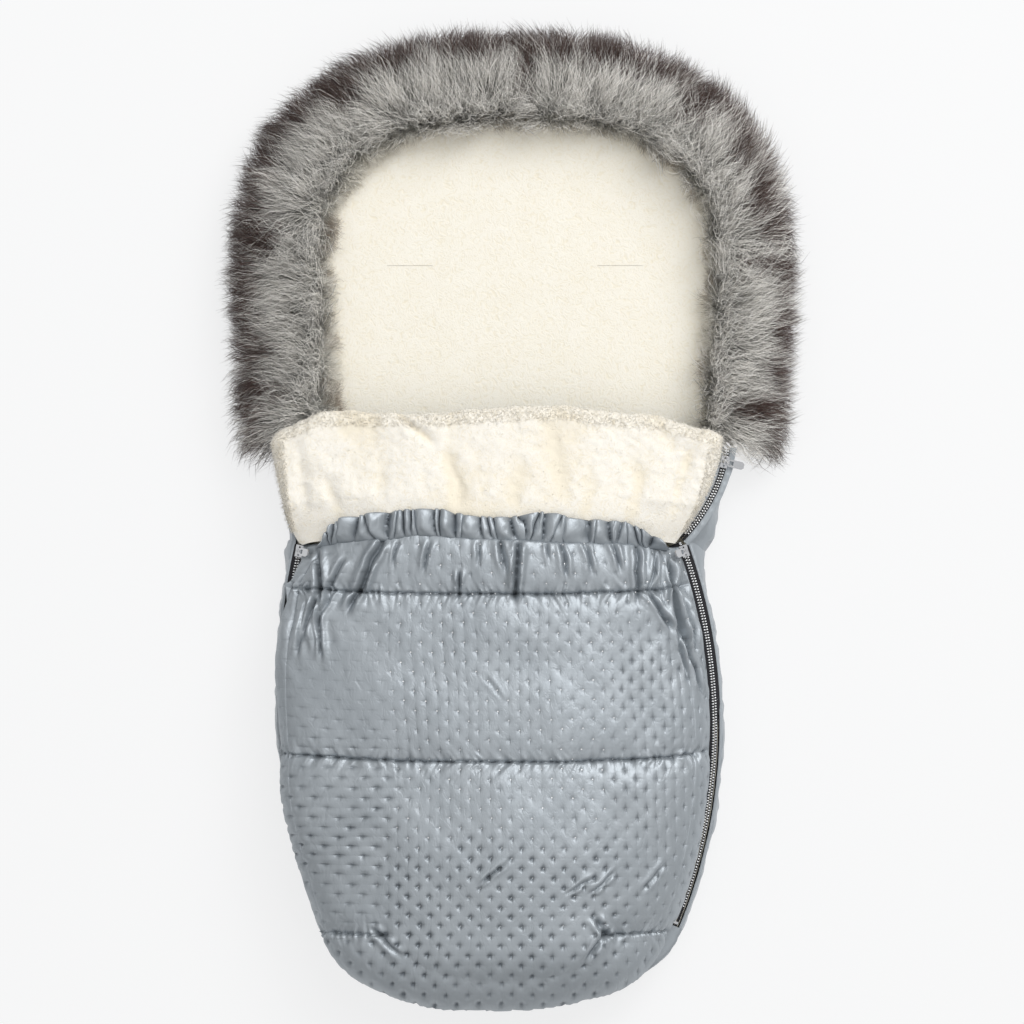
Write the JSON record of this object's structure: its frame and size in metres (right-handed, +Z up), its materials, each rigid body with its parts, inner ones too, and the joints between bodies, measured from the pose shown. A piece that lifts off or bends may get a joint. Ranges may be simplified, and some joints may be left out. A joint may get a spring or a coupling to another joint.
{
  "type": "stroller footmuff",
  "caption": "Padded pushchair footmuff: quilted cover zipped down both sides to a fleece-lined back, with a fold-down fleece cuff, a gathered frill and thick fur trim round the head end.",
  "frame": {"origin": "centre of the footprint, on the ground that the back's flat underside lies on", "axes": "+X to the right side in plan, +Y to the head end, +Z up from the ground"},
  "size_m": [0.5798, 0.9845, 0.1236],
  "materials": {
    "cover_satin": "satin",
    "back_cloth": "matte",
    "wadding": "matte",
    "cream_fleece": "matte",
    "grey_fur": "matte",
    "zip_tape": "matte",
    "elastic": "matte",
    "zip_teeth": "gloss",
    "zip_chrome": "gloss"
  },
  "bodies": {
    "back": {"back_shell": "back_cloth", "back_padding": "wadding", "back_lining": "cream_fleece", "fur_trim": "grey_fur", "toe_binding": "back_cloth", "left_back_tape": "zip_tape", "right_back_tape": "zip_tape", "left_back_chain": "zip_teeth", "right_back_chain": "zip_teeth", "upper_outer_tape": "zip_tape", "upper_inner_tape": "zip_tape", "upper_outer_chain": "zip_teeth", "upper_inner_chain": "zip_teeth"},
    "apron": {"front_upper_panel": "cover_satin", "front_middle_panel": "cover_satin", "front_lower_panel": "cover_satin", "toe_panel": "cover_satin", "left_side_panel": "cover_satin", "right_side_panel": "cover_satin", "apron_lining": "cream_fleece", "frill_elastic": "elastic", "left_apron_tape": "zip_tape", "right_apron_tape": "zip_tape", "left_apron_chain": "zip_teeth", "right_apron_chain": "zip_teeth", "left_top_stop": "zip_chrome", "right_top_stop": "zip_chrome", "left_bottom_stop": "zip_chrome", "right_bottom_stop": "zip_chrome"},
    "cuff": {"cuff_shell": "cover_satin", "cuff_lining": "cream_fleece", "frill": "cover_satin"},
    "left_slider": {"left_slider": "zip_chrome"},
    "left_pull": {"left_pull": "zip_chrome"},
    "right_slider": {"right_slider": "zip_chrome"},
    "right_pull": {"right_pull": "zip_chrome"},
    "upper_slider": {"upper_slider": "zip_chrome"},
    "upper_pull": {"upper_pull": "zip_chrome"}
  },
  "joints": [
    {"name": "apron_open", "type": "hinge", "parent": "back", "child": "apron", "pos_m": [0, -0.4895, 0.05], "axis": [1, 0, 0], "range_deg": [0, 115]},
    {"name": "cuff_fold", "type": "hinge", "parent": "apron", "child": "cuff", "pos_m": [0, -0.0265, 0.103], "axis": [1, 0, 0], "range_deg": [0, 160]},
    {"name": "left_zip_run", "type": "hinge", "parent": "apron", "child": "left_slider", "pos_m": [0.4345, -0.175, 0.05], "axis": [0, 0, 1], "range_deg": [0, 31.99]},
    {"name": "right_zip_run", "type": "hinge", "parent": "apron", "child": "right_slider", "pos_m": [-0.3155, -0.21, 0.05], "axis": [0, 0, -1], "range_deg": [0, 40.86]},
    {"name": "upper_zip_run", "type": "hinge", "parent": "back", "child": "upper_slider", "pos_m": [0.05597, 0.091, 0.05], "axis": [0, 0, -1], "range_deg": [0, 25.5]},
    {"name": "left_pull_swing", "type": "hinge", "parent": "left_slider", "child": "left_pull", "pos_m": [-0.2107, -0.036, 0.0557], "axis": [-0.2106, -0.9776, 0], "range_deg": [0, 110]},
    {"name": "right_pull_swing", "type": "hinge", "parent": "right_slider", "child": "right_pull", "pos_m": [0.17452, -0.036, 0.0557], "axis": [-0.3346, 0.9424, 0], "range_deg": [0, 110]},
    {"name": "upper_pull_swing", "type": "hinge", "parent": "upper_slider", "child": "upper_pull", "pos_m": [0.21447, 0.053, 0.0557], "axis": [-0.2331, -0.9724, 0], "range_deg": [0, 50]}
  ]
}
